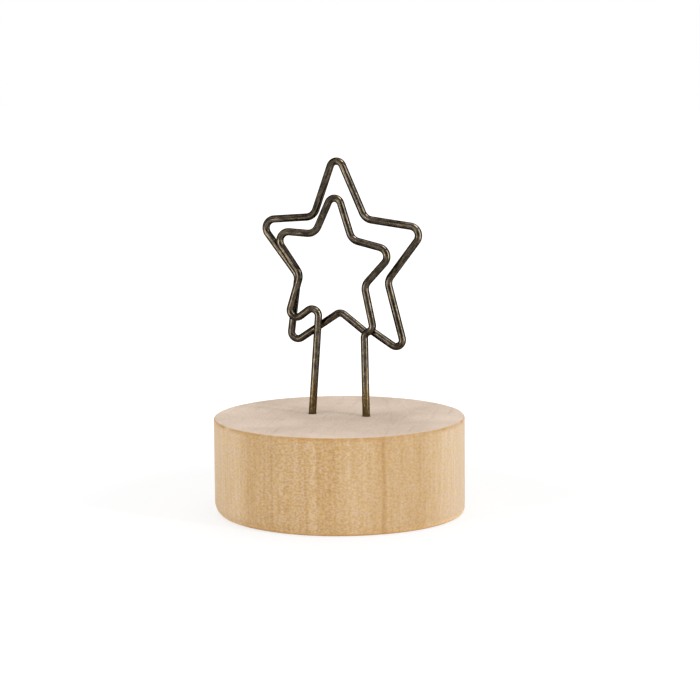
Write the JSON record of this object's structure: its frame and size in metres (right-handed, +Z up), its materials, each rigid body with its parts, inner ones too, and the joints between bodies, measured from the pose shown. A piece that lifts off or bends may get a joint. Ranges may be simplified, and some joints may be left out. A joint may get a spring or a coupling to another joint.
{
  "type": "wire clip card holder",
  "caption": "Round wood disc carrying two bent wire stars, a small one in front of a larger one, that grip a card or photo between them.",
  "frame": {"origin": "on the axis of the wood disc, at its underside", "axes": "+Z up along the disc's axis, +X along the row of the two legs, the small front star faces -Y"},
  "size_m": [0.05, 0.05, 0.0705],
  "materials": {
    "pale_wood": "sawn across the grain and sanded, unvarnished, satin at most",
    "antique_bronze_wire": "dark antique bronze plating over steel wire, half gloss, with worn golden flecks",
    "weld_metal": "plated weld bead, browner and duller than the wire"
  },
  "bodies": {
    "stand": {"wood_base": "pale_wood", "front_star_wire": "antique_bronze_wire", "left_weld": "weld_metal", "right_weld": "weld_metal"},
    "rear_star": {"rear_star_wire": "antique_bronze_wire"}
  },
  "joints": [
    {"name": "rear_star_flex", "type": "hinge", "parent": "stand", "child": "rear_star", "pos_m": [0.00044, 0.0031, 0.03652], "axis": [-0.996, 0, 0.0897], "range_deg": [0, 5], "stiffness_Nm_per_rad": 0.5}
  ]
}
